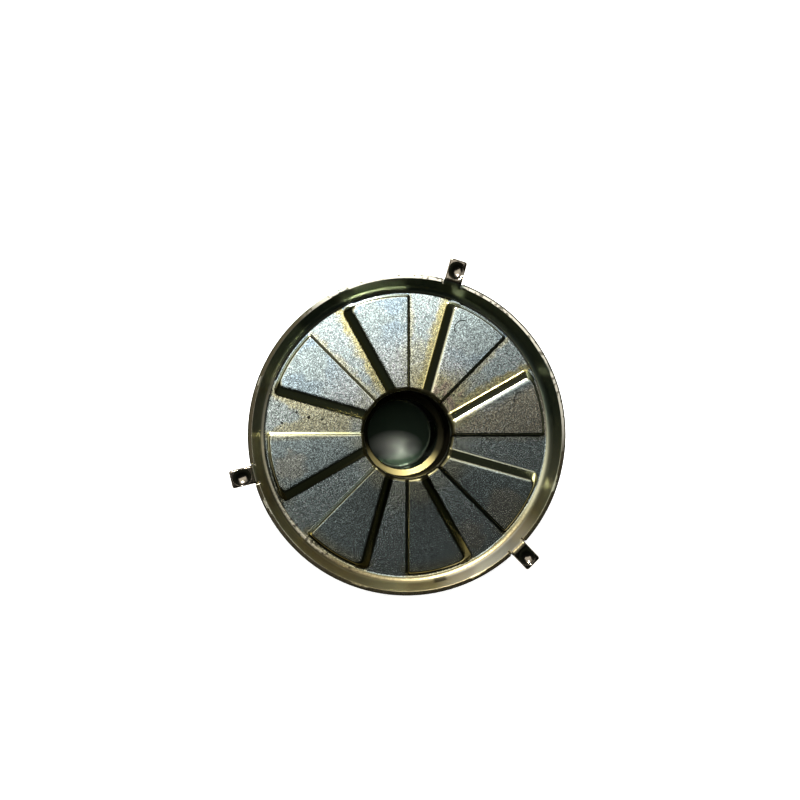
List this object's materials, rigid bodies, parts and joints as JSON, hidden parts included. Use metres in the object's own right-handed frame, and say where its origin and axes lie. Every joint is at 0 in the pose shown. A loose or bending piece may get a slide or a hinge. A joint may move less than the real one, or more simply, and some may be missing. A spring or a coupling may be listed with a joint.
{
  "type": "burner flame spreader",
  "caption": "Round pressed steel flame spreader: shallow dish with raised fan panels, a stepped central spigot cup, a flared rim and dimpled tabs for seating it on a gas burner.",
  "frame": {"origin": "on the axis, at the underside of the cup's flat bottom, where the part stands", "axes": "+Z along the axis towards the open side of the dish; +X along the foot direction of one panel's steep edge"},
  "size_m": [0.0843, 0.0839, 0.0242],
  "materials": {
    "zinc_plated_steel": "satin zinc plate with a yellow iridescent passivation, smooth and darker on the drawn bends"
  },
  "bodies": {
    "root": {"flame_spreader": "zinc_plated_steel"}
  },
  "joints": []
}
